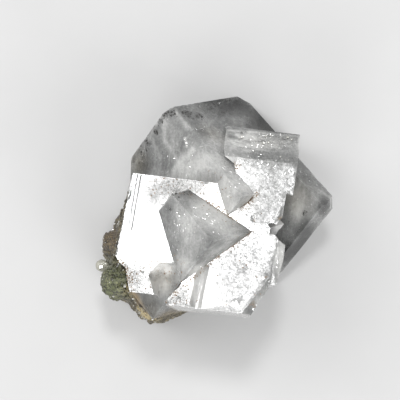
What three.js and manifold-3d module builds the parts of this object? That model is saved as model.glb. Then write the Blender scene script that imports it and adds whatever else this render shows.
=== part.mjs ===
// Chabazite: a cluster of twinned crystals on a remnant of the rock it grew on.
//
// Chabazite grows as rhombohedra that look like slightly squashed cubes. Two orientations
// grow through each other here. Both share one three-fold axis, and the second is the
// first turned half a turn about it (a penetration twin). Every flat crystal face below
// belongs to one of those two orientations, so the cluster follows from one axis, one
// angle, and the polar corner and edge lengths of each crystal.
//
// Frame: millimetres, +Z up. The cluster lies on the flat break at its back, so its
// best faces look up. x and y are measured from an upright line through the middle of
// the cluster, and z from the break. The finished group is centred over its base.

import * as THREE from "three";
import { mergeVertices } from "three/addons/utils/BufferGeometryUtils.js";
import Module from "manifold-3d";

// ---- driving dimensions -------------------------------------------------------------

const RHOMB_ANGLE = 94.5; // plane angle at a polar corner, degrees: chabazite's own
const AXIS_TILT = 62.2; // the shared three-fold axis leans this far from upright
const AXIS_HEADING = 120.6; // direction that it leans in, degrees from +X
const EDGE_TWIST = 159.7; // first edge of the first orientation, about the axis

// Polar corner, and edge lengths along a, b and c. On the first orientation c runs down
// into the cluster, and on the second it runs up out of it.
const FRONT = { corner: [-10.7, 4.3, 19.85], edges: [25.6, 20.65, 27] };
const WEDGE = { corner: [-4.45, 1.05, 23.3], edges: [18.3, 17.5, 11.3] };
const BACK = { corner: [-5.4, 15.1, 12.75], edges: [24, 18.9, 15.5] };
const STEP = { corner: [0.05, 8.65, 17.6], edges: [13, 8, 7.2] };
const SPUR = { corner: [3.85, 4.1, 21.1], edges: [9, 2.9, 5.2] };
const PLATE = { shift: 14.9, edges: [25, 4.1, 27.3] }; // shift: along b from the back crystal
const SLIVER = { left: 11, right: 13.6, top: -6.6, bottom: -13.6, level: 1.3 };

const POLAR_EDGE_CUT = 0.95; // depth of the facet along the back crystal's polar edge
const LEFT_BREAK = -11.5; // the back crystal is broken off upright here
const BLOCK_LEVEL = 0.5; // the upper block's front lies this far below the front crystal's
const BLOCK_SHOULDER = [11, 6.25, 18.55]; // on the ridge between its front and its slope
const BLOCK_FOOT = 2; // the block ends this far above the break
const GROOVE_DEPTH = 0.16; // shallow growth grooves across the front face

// The rock is a mound about one middle. Its rim gives reach and height by heading.
// Each broken ledge is one rise high and juts out by the ledge depth. Waves give the
// skin a broad swell, a finer grain, and an uneven top.
const ROCK = {
  middle: new THREE.Vector3(-6, -6, 0),
  sides: 120,
  levels: 16,
  ledge: { rise: 3.4, depth: 1.3, waver: 0.9, length: 4.3 },
  swell: { height: 0.5, length: 2.3 },
  grain: { height: 0.22, length: 1.2 },
  heave: { height: 0.5, length: 1.9 },
  steepness: 0.2,
  rim: [
    { heading: 0, reach: 3, top: 9 },
    { heading: 100, reach: 7, top: 9 },
    { heading: 121, reach: 10.7, top: 11 },
    { heading: 136, reach: 9.4, top: 13 },
    { heading: 154, reach: 8.5, top: 14 },
    { heading: 168, reach: 9, top: 14.5 },
    { heading: 176, reach: 9.2, top: 15 },
    { heading: 181, reach: 10.2, top: 15 },
    { heading: 192, reach: 10.6, top: 15.5 },
    { heading: 203, reach: 11.2, top: 15.5 },
    { heading: 211, reach: 12.2, top: 15.5 },
    { heading: 220, reach: 13, top: 15.5 },
    { heading: 230, reach: 13.3, top: 16 },
    { heading: 243, reach: 13.3, top: 16.5 },
    { heading: 249, reach: 13.8, top: 17 },
    { heading: 254, reach: 14.7, top: 17.5 },
    { heading: 261, reach: 15.2, top: 17.5 },
    { heading: 270, reach: 15.1, top: 16 },
    { heading: 276, reach: 14.3, top: 14 },
    { heading: 284, reach: 14, top: 12 },
    { heading: 290, reach: 13.5, top: 11 },
    { heading: 297, reach: 9, top: 9 },
    { heading: 360, reach: 3, top: 9 },
  ],
  lumps: [
    { centre: [-15.9, -10.7, 12.9], radii: [1.1, 1.1, 1.2] },
    { centre: [-13.5, -13.2, 12.9], radii: [2.8, 3.1, 4.6] },
    { centre: [-14.4, -7.2, 11.4], radii: [1.7, 2.2, 3.4] },
  ],
};
const LUMP_SWELL = { height: 0.13, length: 3.1 };
const LUMP_GRAIN = { height: 0.07, length: 1.1 };

const CONTACT_GAP = 0.3; // clearance between the crystals and the rock
const FAR = 80; // reach of a cutting block, past the whole specimen

const UP = new THREE.Vector3(0, 0, 1);

const wasm = await Module();
wasm.setup();

// ---- solids -------------------------------------------------------------------------

function solidOf(geometry) {
  const bare = geometry.clone();
  bare.deleteAttribute("normal");
  bare.deleteAttribute("uv");
  const merged = mergeVertices(bare, 1e-5);
  return new wasm.Manifold(
    new wasm.Mesh({
      numProp: 3,
      vertProperties: new Float32Array(merged.attributes.position.array),
      triVerts: new Uint32Array(merged.index.array),
    })
  );
}

function geometryOf(solid) {
  const mesh = solid.getMesh();
  const geometry = new THREE.BufferGeometry();
  const points = new Float32Array(mesh.vertProperties);
  geometry.setAttribute("position", new THREE.BufferAttribute(points, 3));
  geometry.setIndex(new THREE.BufferAttribute(new Uint32Array(mesh.triVerts), 1));
  geometry.computeVertexNormals();
  return geometry;
}

function joined(solids) {
  return solids.reduce((whole, next) => whole.add(next));
}

// Keeps the outer shell of the largest piece, without crumbs or sealed hollows.
function soundBody(solid) {
  return solid.decompose().reduce((best, next) => (next.volume() > best.volume() ? next : best));
}

// Removes everything on the outer side of the plane through a point.
function trimmed(solid, normal, point) {
  const slab = new THREE.BoxGeometry(FAR, FAR, FAR).translate(0, 0, FAR / 2);
  const turn = new THREE.Quaternion().setFromUnitVectors(UP, normal.clone().normalize());
  slab.applyQuaternion(turn).translate(point.x, point.y, point.z);
  return solid.subtract(solidOf(slab));
}

// A prism over an outline given in plan, swept along a slanting direction. It passes
// through the outline at the given height.
function sweptPrism(outline, height, direction) {
  const shape = new THREE.Shape(outline.map(([x, y]) => new THREE.Vector2(x, y)));
  const prism = new THREE.ExtrudeGeometry(shape, { depth: FAR, bevelEnabled: false });
  const slant = direction.clone().divideScalar(direction.z);
  const right = new THREE.Vector3(1, 0, 0);
  const ahead = new THREE.Vector3(0, 1, 0);
  const shear = new THREE.Matrix4().makeBasis(right, ahead, slant);
  return solidOf(prism.translate(0, 0, -FAR / 2).applyMatrix4(shear).translate(0, 0, height));
}

function vector(place) {
  return new THREE.Vector3(...place);
}

// Walks from a place along several directions in turn.
function walk(start, ...legs) {
  const point = start.clone();
  for (const [direction, length] of legs) point.addScaledVector(direction, length);
  return point;
}

// ---- the two orientations -----------------------------------------------------------

// The three polar edges make equal angles with the axis, and RHOMB_ANGLE with each other.
// Each face is named after the edge that it doesn't hold, and its normal points outward.
function orientation(halfTurns) {
  const tilt = THREE.MathUtils.degToRad(AXIS_TILT);
  const heading = THREE.MathUtils.degToRad(AXIS_HEADING);
  const level = Math.sin(tilt);
  const axis = vector([level * Math.cos(heading), level * Math.sin(heading), Math.cos(tilt)]);
  const start = new THREE.Vector3().crossVectors(UP, axis).normalize();
  const cosAngle = Math.cos(THREE.MathUtils.degToRad(RHOMB_ANGLE));
  const lean = Math.acos(Math.sqrt((2 * cosAngle + 1) / 3));
  const edge = (index) => {
    const turn = THREE.MathUtils.degToRad(EDGE_TWIST + 180 * halfTurns - 120 * index);
    const around = start.clone().applyAxisAngle(axis, turn);
    return around.multiplyScalar(Math.sin(lean)).addScaledVector(axis, -Math.cos(lean));
  };
  const [a, b, c] = [edge(0), edge(1), edge(2)];
  const outward = (p, q) => new THREE.Vector3().crossVectors(q, p).normalize();
  return { a, b, c, faceA: outward(b, c), faceB: outward(c, a), faceC: outward(a, b) };
}

const FIRST = orientation(0);
const SECOND = orientation(1);

function rhombohedron(set, corner, [lengthA, lengthB, lengthC]) {
  const block = new THREE.BoxGeometry(1, 1, 1).translate(0.5, 0.5, 0.5);
  const basis = new THREE.Matrix4().makeBasis(
    set.a.clone().multiplyScalar(lengthA),
    set.b.clone().multiplyScalar(lengthB),
    set.c.clone().multiplyScalar(lengthC)
  );
  return solidOf(block.applyMatrix4(basis.setPosition(corner)));
}

// ---- first orientation: the bright front crystal ------------------------------------

function frontCrystal() {
  let crystal = rhombohedron(FIRST, vector(FRONT.corner), FRONT.edges);
  crystal = crystal.subtract(lowerLeftBreak()).subtract(notch()).subtract(raggedMargin());
  crystal = undercut(crystal);
  crystal = roughLedge(crystal);
  return crystal.subtract(growthGrooves()).add(lowSliver());
}

// The lower left corner is broken back to the rock.
function lowerLeftBreak() {
  const outline = [
    [-13.3, -8.9],
    [-12.8, -9.8],
    [-11.7, -10.75],
    [-11.5, -12.6],
    [-11.05, -14.5],
    [-7.1, -14.95],
    [-5.35, -16.3],
    [-4, -26],
    [-20, -26],
    [-20, -8],
  ];
  return sweptPrism(outline, 23.5, UP);
}

// A missing piece of the front face shows the wedge crystal below it, with a slope of
// broken crystal along its upper left side.
function notch() {
  const outline = [
    [-7.1, -14.95],
    [-8.05, -11.85],
    [-6.3, -10.75],
    [-4.4, -11.05],
    [-2.85, -13.25],
    [-5.35, -16.3],
    [-6.5, -18],
  ];
  return sweptPrism(outline, 23.6, vector([-0.25, 0.22, 1]));
}

// The right and upper right sides end in square steps instead of one face.
function raggedMargin() {
  const outline = [
    [6.5, -1.9],
    [8.6, -2],
    [8.6, -3.5],
    [10.8, -3.65],
    [11.3, -4.3],
    [11.1, -5.25],
    [11.9, -5.4],
    [12.65, -6.2],
    [12.5, -7.3],
    [11.6, -9.65],
    [11.3, -12.6],
    [10.2, -15.1],
    [9.15, -16.2],
    [8.8, -17.2],
    [8, -18.3],
    [7.6, -30],
    [30, -30],
    [30, 20],
    [6.5, 20],
  ];
  return sweptPrism(outline, 22.5, FIRST.c);
}

// Below its lower edge the front crystal leans back to the base, on a slanting break.
function undercut(crystal) {
  return trimmed(crystal, vector([0.05, -0.91, -0.41]), vector([8.2, -18.9, 20.1]));
}

// Inside the ragged margin the front face drops off in two rough slopes.
function roughLedge(crystal) {
  const lower = FIRST.faceC.clone().add(vector([0.2, -0.18, 0]));
  const upper = FIRST.faceC.clone().add(vector([0.17, -0.03, 0]));
  const tip = FIRST.faceC.clone().add(vector([0.5, -0.38, 0]));
  const sloped = trimmed(crystal, lower, vector([10.2, -13.9, 23.9]));
  const stepped = trimmed(sloped, upper, vector([11.9, -8.2, 22.5]));
  return trimmed(stepped, tip, vector([7.7, -16.7, 24.55]));
}

// Growth grooves run down the front face along b. Each has one steep and one slow side.
function growthGrooves() {
  const grooves = [
    { across: 1.25, width: 0.3, from: -1, to: 9.8 },
    { across: 13.2, width: 0.85, from: 12, to: 22 },
    { across: 14.5, width: 0.6, from: 12, to: 22 },
  ];
  return joined(grooves.map(({ across, width, from, to }) => {
    const end = walk(vector(FRONT.corner), [FIRST.a, across], [FIRST.b, to]);
    const wedge = new THREE.Shape([
      new THREE.Vector2(0, 1),
      new THREE.Vector2(0, -GROOVE_DEPTH),
      new THREE.Vector2(width, 0),
      new THREE.Vector2(width, 1),
    ]);
    const bar = new THREE.ExtrudeGeometry(wedge, { depth: to - from, bevelEnabled: false });
    const basis = new THREE.Matrix4().makeBasis(FIRST.a, FIRST.faceC, FIRST.b.clone().negate());
    return solidOf(bar.applyMatrix4(basis.setPosition(end)));
  }));
}

// A lower slice of crystal shows past the ragged right side.
function lowSliver() {
  const outline = [
    [SLIVER.left, SLIVER.top + 0.6],
    [SLIVER.right - 0.7, SLIVER.top + 0.3],
    [SLIVER.right + 0.25, SLIVER.top - 0.4],
    [SLIVER.right - 0.25, SLIVER.bottom + 3.8],
    [SLIVER.right - 1.5, SLIVER.bottom],
    [SLIVER.left - 1.5, SLIVER.bottom],
  ];
  const slice = sweptPrism(outline, 21.5, FIRST.c);
  const level = walk(vector(FRONT.corner), [FIRST.faceC, -SLIVER.level]);
  const topped = trimmed(slice, FIRST.faceC, level);
  return trimmed(topped, vector([0.5, -0.5, -0.7]), vector([13.2, -12.6, 17.5]));
}

// ---- first orientation: the upper block ---------------------------------------------

// A clear block with a sloping top and a bright front. Its lower side steps down in
// three square teeth.
function upperBlock() {
  const shoulder = vector(BLOCK_SHOULDER);
  const front = walk(vector(FRONT.corner), [FIRST.faceC, -BLOCK_LEVEL]);
  const outlines = [
    [[4.5, 14], [4.4, 12.1], [3.9, 8.4], [4, 7.1], [5.5, 5.9], [5.9, 4],
      [7.6, 3.3], [14.9, 0.7], [15.7, 5.8], [16, 7], [16.45, 10.7], [16.5, 14]],
    [[5.9, 5.5], [5.9, -2.4], [8.7, -2.4], [8.7, -4],
      [12.75, -3.1], [13.2, -2.9], [13.75, 0.5], [14.5, 3]],
    [[8, 0], [8.4, -4.2], [11.5, -3.7], [12.25, -3.95], [12.9, -3], [13, 0]],
  ];
  let block = joined(outlines.map((outline) => sweptPrism(outline, 19, UP)));
  block = trimmed(block, FIRST.faceC, front);
  block = trimmed(block, FIRST.faceB.clone().add(FIRST.faceC), shoulder);
  block = trimmed(block, FIRST.faceB, vector([10.4, 11.5, 11]));
  return trimmed(block, UP.clone().negate(), vector([0, 0, BLOCK_FOOT]));
}

// ---- second orientation -------------------------------------------------------------

// The grey wedge that stands out of the front face, corner up.
function wedgeCrystal() {
  const crystal = rhombohedron(SECOND, vector(WEDGE.corner), WEDGE.edges);
  const besideFront = walk(vector(FRONT.corner), [FIRST.faceA, -0.2]);
  return trimmed(crystal, FIRST.faceA, besideFront);
}

// The large back crystal. Its upper polar edge is cut by a narrow facet.
function backCrystal() {
  const corner = vector(BACK.corner);
  const crystal = rhombohedron(SECOND, corner, BACK.edges);
  const bevel = SECOND.faceA.clone().add(SECOND.faceB).normalize();
  const bevelled = trimmed(crystal, bevel, walk(corner, [bevel, -POLAR_EDGE_CUT]));
  return trimmed(bevelled, vector([-1, 0.03, 0.05]), vector([LEFT_BREAK, 7, 6]));
}

// A thin parallel plate runs on past it to the right, with its outer corner cut off.
function rightPlate() {
  const corner = walk(vector(BACK.corner), [SECOND.b, PLATE.shift]);
  const plate = rhombohedron(SECOND, corner, PLATE.edges);
  return trimmed(plate, vector([0.93, 0, 0.36]), vector([21.4, -0.3, 12.6]));
}

// Two smaller crystals stand a little proud along the same polar edge.
function stepCrystal() {
  return rhombohedron(SECOND, vector(STEP.corner), STEP.edges);
}

function spurCrystal() {
  return rhombohedron(SECOND, vector(SPUR.corner), SPUR.edges);
}

// ---- the whole cluster --------------------------------------------------------------

function crystalCluster() {
  const cluster = joined([
    frontCrystal(),
    upperBlock(),
    wedgeCrystal(),
    backCrystal(),
    rightPlate(),
    stepCrystal(),
    spurCrystal(),
  ]);
  return soundBody(trimmed(cluster, UP.clone().negate(), vector([0, 0, 0])));
}

// ---- the rock -----------------------------------------------------------------------

// Repeatable roughness: three sharp-crested waves that cross, of one height and length.
function waves(point, { height, length }) {
  const headings = [[2.1, 1.3, -0.7], [-1.1, 2.3, 1.9], [0.9, -1.7, 2.6]];
  const crest = (heading) => 1 - 2 * Math.abs(Math.sin(point.dot(vector(heading)) / length));
  const total = headings.reduce((sum, heading) => sum + crest(heading), 0);
  return (height * total) / headings.length;
}

// One rough lump: a ball stretched to its three radii and roughened.
function lump(centre, radii) {
  const ball = new THREE.IcosahedronGeometry(1, 5);
  const places = ball.attributes.position;
  for (let index = 0; index < places.count; index += 1) {
    const point = new THREE.Vector3().fromBufferAttribute(places, index);
    const place = point.clone().multiply(radii).add(centre);
    const swell = 1 + waves(place, LUMP_SWELL) + waves(place, LUMP_GRAIN);
    point.multiplyScalar(swell).multiply(radii).add(centre);
    places.setXYZ(index, point.x, point.y, point.z);
  }
  return solidOf(ball);
}

// How far the rock reaches from its middle, and how high it stands, at a heading.
function rockEdge(heading) {
  const after = ROCK.rim.findIndex((stop) => stop.heading > heading);
  const [from, to] = [ROCK.rim[after - 1], ROCK.rim[after]];
  const share = (heading - from.heading) / (to.heading - from.heading);
  const between = (name) => THREE.MathUtils.lerp(from[name], to[name], share);
  return { reach: between("reach"), top: between("top") };
}

// A point on the mound's skin: steep sides, a nearly flat top, and broken ledges.
function moundPoint(heading, climb) {
  const { reach, top } = rockEdge(heading);
  const turn = THREE.MathUtils.degToRad(heading);
  const lift = top * Math.sin((climb * Math.PI) / 2);
  const inset = Math.cos((climb * Math.PI) / 2) ** ROCK.steepness;
  const along = vector([Math.cos(turn), Math.sin(turn), 0]);
  const place = ROCK.middle.clone().addScaledVector(along, reach * inset);
  place.z = lift;
  const { rise, depth, waver, length } = ROCK.ledge;
  const height = lift + waves(place, { height: waver, length });
  const ledge = depth * Math.abs(((height / rise) % 1) - 0.5);
  const bulge = waves(place, ROCK.swell) + waves(place, ROCK.grain) - ledge;
  place.addScaledVector(along, bulge * inset);
  place.z = Math.max(0, lift + climb * waves(place, ROCK.heave));
  return place;
}

// The mound as rings of points from the break up to one point on top.
function mound() {
  const places = [];
  for (let level = 0; level < ROCK.levels; level += 1) {
    for (let side = 0; side < ROCK.sides; side += 1) {
      const heading = (360 * side) / ROCK.sides;
      places.push(moundPoint(heading, level / ROCK.levels));
    }
  }
  const crown = places.push(moundPoint(0, 1)) - 1;
  const foot = places.push(ROCK.middle.clone()) - 1;
  const faces = [];
  for (let side = 0; side < ROCK.sides; side += 1) {
    const next = (side + 1) % ROCK.sides;
    faces.push([foot, next, side]);
    for (let level = 0; level < ROCK.levels - 1; level += 1) {
      const [low, high] = [level * ROCK.sides, (level + 1) * ROCK.sides];
      faces.push([low + side, low + next, high + next]);
      faces.push([low + side, high + next, high + side]);
    }
    const last = (ROCK.levels - 1) * ROCK.sides;
    faces.push([last + side, last + next, crown]);
  }
  const geometry = new THREE.BufferGeometry();
  const flat = places.flatMap((place) => place.toArray());
  geometry.setAttribute("position", new THREE.Float32BufferAttribute(flat, 3));
  geometry.setIndex(faces.flat());
  return solidOf(geometry);
}

// The rock lies along the lower left of the crystals and under the wedge's foot.
function rock(crystals) {
  const lumps = ROCK.lumps.map(({ centre, radii }) => lump(vector(centre), vector(radii)));
  let body = joined([mound(), ...lumps]);
  body = trimmed(body, UP.clone().negate(), vector([0, 0, 0]));
  for (const shift of clearanceShifts()) body = body.subtract(crystals.translate(shift));
  return soundBody(body);
}

// The crystals are cut from the rock once for each of these small shifts, every way
// round, which leaves CONTACT_GAP between the two.
function clearanceShifts() {
  const sides = [-1, 0, 1];
  const ways = sides.flatMap((x) => sides.flatMap((y) => sides.map((z) => vector([x, y, z]))));
  return ways
    .filter((way) => way.length() > 0)
    .map((way) => way.normalize().multiplyScalar(CONTACT_GAP).toArray());
}

// ---- meshes -------------------------------------------------------------------------

function crystalMesh(solid) {
  const finish = new THREE.MeshStandardMaterial({
    color: 0xc9ccca,
    roughness: 0.18,
    metalness: 0,
    flatShading: true,
  });
  const mesh = new THREE.Mesh(geometryOf(solid), finish);
  mesh.name = "crystal_cluster";
  return mesh;
}

function rockMesh(solid) {
  const finish = new THREE.MeshStandardMaterial({
    color: 0x9c9478,
    roughness: 0.85,
    metalness: 0,
    flatShading: true,
  });
  const mesh = new THREE.Mesh(geometryOf(solid), finish);
  mesh.name = "rock_matrix";
  return mesh;
}

// Centres the pieces over the middle of their base.
function specimen() {
  const crystals = crystalCluster();
  const group = new THREE.Group();
  group.add(crystalMesh(crystals), rockMesh(rock(crystals)));
  const bounds = new THREE.Box3().setFromObject(group);
  const middle = bounds.getCenter(new THREE.Vector3());
  for (const mesh of group.children) {
    mesh.geometry.translate(-middle.x, -middle.y, -bounds.min.z);
  }
  return group;
}

export default specimen();
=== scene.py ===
import bpy
import numpy as np
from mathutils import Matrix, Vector


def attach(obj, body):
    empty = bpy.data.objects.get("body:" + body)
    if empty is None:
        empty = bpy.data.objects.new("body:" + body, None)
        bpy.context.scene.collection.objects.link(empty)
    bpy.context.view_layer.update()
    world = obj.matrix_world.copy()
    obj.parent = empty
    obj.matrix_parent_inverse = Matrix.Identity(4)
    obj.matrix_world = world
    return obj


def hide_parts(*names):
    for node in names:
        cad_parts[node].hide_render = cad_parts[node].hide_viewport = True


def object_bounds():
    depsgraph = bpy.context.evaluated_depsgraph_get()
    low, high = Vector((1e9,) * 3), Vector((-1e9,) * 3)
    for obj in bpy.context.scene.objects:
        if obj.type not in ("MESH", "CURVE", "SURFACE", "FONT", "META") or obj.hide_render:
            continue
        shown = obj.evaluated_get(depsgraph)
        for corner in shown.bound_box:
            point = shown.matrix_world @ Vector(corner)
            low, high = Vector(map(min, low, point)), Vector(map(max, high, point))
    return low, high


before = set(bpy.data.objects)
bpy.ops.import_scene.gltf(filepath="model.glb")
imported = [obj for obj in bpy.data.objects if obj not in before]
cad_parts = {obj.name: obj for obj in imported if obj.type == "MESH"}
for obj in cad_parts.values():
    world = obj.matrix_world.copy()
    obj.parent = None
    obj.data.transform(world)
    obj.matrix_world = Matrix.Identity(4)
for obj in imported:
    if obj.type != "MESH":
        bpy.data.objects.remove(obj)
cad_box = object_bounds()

# --- The crystals -------------------------------------------------------------------
# Chabazite, a soft glassy mineral, grown as two sets of crossing rhombohedra. It is
# milky where tiny cracks and bubbles fill it, and clearer and darker towards its ends.

MM = 0.001
FACET_STEP = 0.42  # longest side of a skin triangle, mm, and twice that low down
CREASE_COSINE = 0.992  # faces that meet at a sharper angle than this stay sharp
EDGE_COSINE = 0.88  # faces that meet at a sharper angle than this can chip
EDGE_REACH = 3.0  # how far in from a crystal edge its distance is followed, mm
FRONT_NORMAL = np.array([0.015, 0.233, 0.972])  # the bright growth faces all look this way
# The three edges that meet at the first crystal's far corner, as unit directions.
FIRST_AXES = np.array([[0.993, -0.118, 0.013], [-0.195, -0.953, 0.231],
                       [-0.082, -0.140, -0.987]])


def solid_skin(node):
    """Points in mm and triangles of a CAD node, with points that coincide made one."""
    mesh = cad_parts[node].data
    mesh.calc_loop_triangles()
    points = np.empty(len(mesh.vertices) * 3)
    mesh.vertices.foreach_get("co", points)
    triangles = np.empty(len(mesh.loop_triangles) * 3, np.int32)
    mesh.loop_triangles.foreach_get("vertices", triangles)
    places = np.round(points.reshape(-1, 3) / MM, 3)
    unique, place_of = np.unique(places, axis=0, return_inverse=True)
    triangles = place_of.reshape(-1)[triangles].reshape(-1, 3)
    a, b, c = triangles.T
    return unique, triangles[(a != b) & (b != c) & (c != a)]


def edges_of(triangles):
    """Each edge once, as a sorted pair of points, and the edge on each triangle's sides."""
    sides = np.sort(triangles[:, [0, 1, 1, 2, 2, 0]].reshape(-1, 2), axis=1)
    edges, edge_of = np.unique(sides, axis=0, return_inverse=True)
    return edges, edge_of.reshape(-1, 3)


# New triangles for each choice of split sides: corners are 0 1 2, middles of the sides
# 01 12 20 are 3 4 5, and the key adds 1, 2 and 4 for the sides that are split.
SPLITS = {
    0: [(0, 1, 2)],
    1: [(0, 3, 2), (3, 1, 2)],
    2: [(0, 1, 4), (0, 4, 2)],
    4: [(0, 1, 5), (5, 1, 2)],
    3: [(3, 1, 4), (0, 3, 4), (0, 4, 2)],
    6: [(4, 2, 5), (0, 1, 4), (0, 4, 5)],
    5: [(0, 3, 5), (3, 1, 2), (3, 2, 5)],
    7: [(0, 3, 5), (3, 1, 4), (5, 4, 2), (3, 4, 5)],
}


def split_to(points, triangles, longest, rounds=14):
    """Halves every side that is longer than the limit and is the longest of a triangle
    beside it, over and over, so the skin gets even triangles and keeps its flat faces."""
    for _ in range(rounds):
        edges, edge_of = edges_of(triangles)
        lengths = np.linalg.norm(points[edges[:, 0]] - points[edges[:, 1]], axis=1)
        limit = longest(points[edges].mean(1)) if callable(longest) else longest
        first = edge_of[np.arange(len(edge_of)), lengths[edge_of].argmax(1)]
        chosen = np.zeros(len(edges), bool)
        chosen[first] = True
        chosen &= lengths > limit
        if not chosen.any():
            break
        middle = np.where(chosen, len(points) + np.cumsum(chosen) - 1, -1)
        points = np.vstack([points, points[edges[chosen]].mean(1)])
        names = np.hstack([triangles, middle[edge_of]])
        key = chosen[edge_of] @ np.array([1, 2, 4])
        triangles = np.vstack([
            names[key == code][:, np.array(pattern)].reshape(-1, 3)
            for code, pattern in SPLITS.items()
        ])
    return points, triangles


def triangle_normals(points, triangles):
    """Each triangle's unit normal, and the cross product of two of its sides, whose length
    is twice its area."""
    a, b, c = points[triangles].transpose(1, 0, 2)
    across = np.cross(b - a, c - a)
    return across / np.maximum(np.linalg.norm(across, axis=1, keepdims=True), 1e-12), across


def point_normals(points, triangles):
    """Each point's normal: the area-weighted mean of its triangles' normals."""
    across = triangle_normals(points, triangles)[1]
    total = np.zeros_like(points)
    for corner in range(3):
        np.add.at(total, triangles[:, corner], across)
    return total / np.maximum(np.linalg.norm(total, axis=1, keepdims=True), 1e-12)


def crystal_edges(points, triangles, cosine=CREASE_COSINE):
    """The edges where two flat faces meet: the normals of the triangles on their two
    sides differ by more than the angle with this cosine."""
    normals = triangle_normals(points, triangles)[0]
    edges, edge_of = edges_of(triangles)
    total = np.zeros((len(edges), 3))
    for side in range(3):
        np.add.at(total, edge_of[:, side], normals)
    alike = (np.sum(total**2, axis=1) - 2) / 2
    return edges[alike < cosine], edges


def relaxed(points, edges, share, rounds):
    """Moves each point its share of the way to the mean of its neighbours, over and over.
    Where all of them lie in one flat face it stays flat, and its triangles even out."""
    count = np.bincount(edges.ravel(), minlength=len(points))[:, None]
    for _ in range(rounds):
        total = np.zeros_like(points)
        np.add.at(total, edges[:, 0], points[edges[:, 1]])
        np.add.at(total, edges[:, 1], points[edges[:, 0]])
        points = points + share[:, None] * (total / count - points)
    return points


def distance_to_edges(points, triangles, normals, reach):
    """How far each point is from the nearest outward crystal edge, walked along the skin:
    a point is no further than any neighbour's distance plus the step between them. An edge
    points outward where its neighbours' mean lies below it, against its normal."""
    creases, edges = crystal_edges(points, triangles, EDGE_COSINE)
    lengths = np.linalg.norm(points[edges[:, 0]] - points[edges[:, 1]], axis=1)
    around = np.zeros_like(points)
    np.add.at(around, edges[:, 0], points[edges[:, 1]] - points[edges[:, 0]])
    np.add.at(around, edges[:, 1], points[edges[:, 0]] - points[edges[:, 1]])
    outward = np.sum(around * normals, axis=1) < 0
    creases = creases[outward[creases].all(1)]
    distance = np.full(len(points), reach)
    distance[creases.ravel()] = 0
    for _ in range(int(3 * reach / FACET_STEP)):
        here, there = edges.T
        np.minimum.at(distance, here, distance[there] + lengths)
        np.minimum.at(distance, there, distance[here] + lengths)
    return distance


def soft(value, low, high):
    """A smooth step: 0 below low, 1 above high, and 3t^2 - 2t^3 between."""
    share = np.clip((value - low) / (high - low), 0, 1)
    return share * share * (3 - 2 * share)


def mottle(points, size, seed):
    """Smooth noise between -1 and 1: a random value at each corner of a lattice of the
    given size in mm, blended across the cell by the smooth step of each coordinate."""
    place = points / size + seed * 17.31
    cell = np.floor(place).astype(np.int64)
    share = place - cell
    share = share * share * (3 - 2 * share)
    value = 0
    for corner in np.ndindex(2, 2, 2):
        x, y, z = (cell + np.array(corner)).T.astype(np.uint64)
        code = x * np.uint64(73856093) ^ y * np.uint64(19349663) ^ z * np.uint64(83492791)
        code = (code ^ (code >> np.uint64(13))) * np.uint64(1274126177) + np.uint64(seed)
        code = (code ^ (code >> np.uint64(16))) & np.uint64(0xFFFF)
        weight = np.prod(np.where(corner, share, 1 - share), axis=1)
        value = value + weight * code.astype(float)
    return value / 32767.5 - 1


def near(points, centre, radius):
    """1 at a place and falling smoothly to 0 at the radius, both in mm."""
    distance = np.linalg.norm((points - np.array(centre)) / np.array(radius), axis=1)
    return 1 - soft(distance, 0, 1)


def along_seam(points, seam, width):
    """1 on a line through the given places and falling smoothly to 0 at the width: the
    distance is to the nearest point of each straight stretch."""
    seam = np.array(seam, float)
    closest = np.full(len(points), np.inf)
    for start, end in zip(seam[:-1], seam[1:]):
        run = end - start
        share = np.clip((points - start) @ run / (run @ run), 0, 1)
        gap = np.linalg.norm(points - start - share[:, None] * run, axis=1)
        closest = np.minimum(closest, gap)
    return 1 - soft(closest, 0, width)


def skin_piece(name, points, triangles, amounts, creases=None):
    """A mesh piece from points in mm, kept within the solids' own box, with a named amount
    per point for its material. Its shading is smooth, except across the creases."""
    low, high = np.array(cad_box) / MM
    mesh = bpy.data.meshes.new(name)
    mesh.vertices.add(len(points))
    mesh.vertices.foreach_set("co", (np.clip(points, low, high) * MM).ravel())
    mesh.loops.add(triangles.size)
    mesh.loops.foreach_set("vertex_index", triangles.ravel().astype(np.int32))
    mesh.polygons.add(len(triangles))
    mesh.polygons.foreach_set("loop_start", np.arange(0, triangles.size, 3, dtype=np.int32))
    mesh.update(calc_edges=True)
    if creases is not None:
        ends = np.empty(2 * len(mesh.edges), np.int32)
        mesh.edges.foreach_get("vertices", ends)
        ends = np.sort(ends.reshape(-1, 2), axis=1) @ np.array([1, len(points)])
        sharp = np.isin(ends, np.sort(creases, axis=1) @ np.array([1, len(points)]))
        layer = mesh.attributes.new("sharp_edge", "BOOLEAN", "EDGE")
        layer.data.foreach_set("value", sharp)
    for label, amount in amounts.items():
        layer = mesh.attributes.new(label, "FLOAT", "POINT")
        layer.data.foreach_set("value", np.asarray(amount, np.float32))
    piece = bpy.data.objects.new(name, mesh)
    bpy.context.scene.collection.objects.link(piece)
    return piece


def hex_linear(code):
    """An sRGB hex colour as linear red, green, blue and full opacity."""
    values = np.array([int(code[i:i + 2], 16) for i in (1, 3, 5)]) / 255
    curve = ((values + 0.055) / 1.055) ** 2.4
    return (*np.where(values <= 0.04045, values / 12.92, curve), 1.0)


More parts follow.
